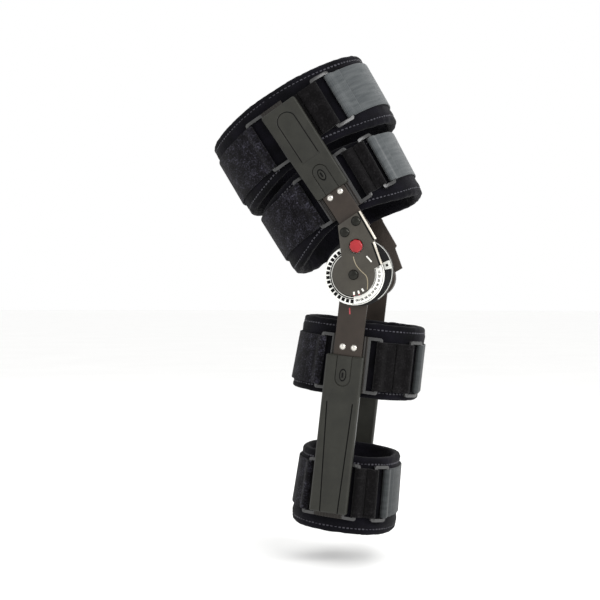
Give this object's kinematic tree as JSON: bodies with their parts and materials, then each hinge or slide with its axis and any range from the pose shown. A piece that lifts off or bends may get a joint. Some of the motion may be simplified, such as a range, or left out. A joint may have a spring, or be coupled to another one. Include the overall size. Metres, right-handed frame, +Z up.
{
  "type": "hinged knee brace",
  "caption": "Knee brace for a right leg: padded thigh and calf cuffs with straps and buckles on telescoping side bars that turn on a dial hinge with a lock button.",
  "frame": {"origin": "on the knee's flexion axis, midway between the outer and inner hinges, where the knee holds the brace", "axes": "+X to the front of the leg, -Y to its outer side, +Z up"},
  "size_m": [0.2289, 0.1695, 0.5038],
  "materials": {
    "foam_fabric": "black knit laminated on foam",
    "loop_fabric": "black brushed loop fabric",
    "webbing": "grey woven webbing",
    "sleeve_plastic": "olive charcoal, moulded, satin",
    "bar_metal": "brown grey coated aluminium, satin",
    "arm_metal": "olive grey coated metal with bare edges",
    "bracket_plastic": "brown grey, moulded, ribbed",
    "housing_plastic": "black, moulded",
    "dial_plastic": "white and black printed scale",
    "loop_plastic": "dark grey, moulded, worn lighter on edges",
    "bright_steel": "bright domed",
    "dark_steel": "dark coated, domed",
    "red_plastic": "red, moulded, glossy",
    "grey_plastic": "light grey, moulded"
  },
  "bodies": {
    "upper_hinge": {"hinge_arm": "arm_metal", "dial": "dial_plastic", "hinge_housing": "housing_plastic", "pivot": "dark_steel", "upper_bar": "bar_metal", "arm_rivet_front": "dark_steel", "arm_rivet_rear": "dark_steel", "upper_bar_rivet_front": "bright_steel", "upper_bar_rivet_rear": "bright_steel", "medial_upper_bar": "bar_metal", "medial_spacer": "housing_plastic", "medial_pivot": "dark_steel"},
    "thigh_frame": {"upper_sleeve": "sleeve_plastic", "medial_upper_sleeve": "sleeve_plastic", "upper_thigh_pad": "foam_fabric", "upper_thigh_bracket": "bracket_plastic", "upper_thigh_medial_bracket": "bracket_plastic", "upper_thigh_buckle": "loop_plastic", "upper_thigh_rear_strap": "loop_fabric", "upper_thigh_side_strap": "loop_fabric", "upper_thigh_front_strap": "webbing", "lower_thigh_pad": "foam_fabric", "lower_thigh_bracket": "bracket_plastic", "lower_thigh_medial_bracket": "bracket_plastic", "lower_thigh_buckle": "loop_plastic", "lower_thigh_rear_strap": "loop_fabric", "lower_thigh_side_strap": "loop_fabric", "lower_thigh_front_strap": "webbing"},
    "lower_hinge": {"lower_bar": "bar_metal", "lower_bar_rivet_front": "bright_steel", "lower_bar_rivet_rear": "bright_steel", "medial_lower_bar": "bar_metal"},
    "calf_frame": {"lower_sleeve": "sleeve_plastic", "medial_lower_sleeve": "sleeve_plastic", "upper_calf_pad": "foam_fabric", "upper_calf_bracket": "bracket_plastic", "upper_calf_medial_bracket": "bracket_plastic", "upper_calf_buckle": "loop_plastic", "upper_calf_rear_strap": "loop_fabric", "upper_calf_side_strap": "loop_fabric", "upper_calf_front_strap": "webbing", "lower_calf_pad": "foam_fabric", "lower_calf_bracket": "bracket_plastic", "lower_calf_medial_bracket": "bracket_plastic", "lower_calf_buckle": "loop_plastic", "lower_calf_rear_strap": "loop_fabric", "lower_calf_side_strap": "loop_fabric", "lower_calf_front_strap": "webbing"},
    "upper_latch_button": {"upper_latch": "sleeve_plastic"},
    "lower_latch_button": {"lower_latch": "sleeve_plastic"},
    "lock": {"lock_button": "red_plastic"},
    "stop": {"flexion_stop": "grey_plastic"}
  },
  "joints": [
    {"name": "knee_flexion", "type": "hinge", "parent": "upper_hinge", "child": "lower_hinge", "pos_m": [0, 0, 0], "axis": [0, 1, 0], "range_deg": [-40, 25]},
    {"name": "thigh_length", "type": "slide", "parent": "upper_hinge", "child": "thigh_frame", "axis": [-0.5519, 0, 0.8339], "range_m": [0, 0.06]},
    {"name": "calf_length", "type": "slide", "parent": "lower_hinge", "child": "calf_frame", "axis": [-0.1132, 0, -0.9936], "range_m": [0, 0.06]},
    {"name": "upper_latch_press", "type": "slide", "parent": "thigh_frame", "child": "upper_latch_button", "axis": [0, 1, 0], "range_m": [0, 0.001], "stiffness_N_per_m": 600},
    {"name": "lower_latch_press", "type": "slide", "parent": "calf_frame", "child": "lower_latch_button", "axis": [0, 1, 0], "range_m": [0, 0.001], "stiffness_N_per_m": 600},
    {"name": "lock_press", "type": "slide", "parent": "upper_hinge", "child": "lock", "axis": [0, 1, 0], "range_m": [0, 0.0014], "stiffness_N_per_m": 600},
    {"name": "stop_setting", "type": "hinge", "parent": "upper_hinge", "child": "stop", "pos_m": [0, -0.078, 0], "axis": [0, 1, 0], "range_deg": [-10, 25]}
  ]
}
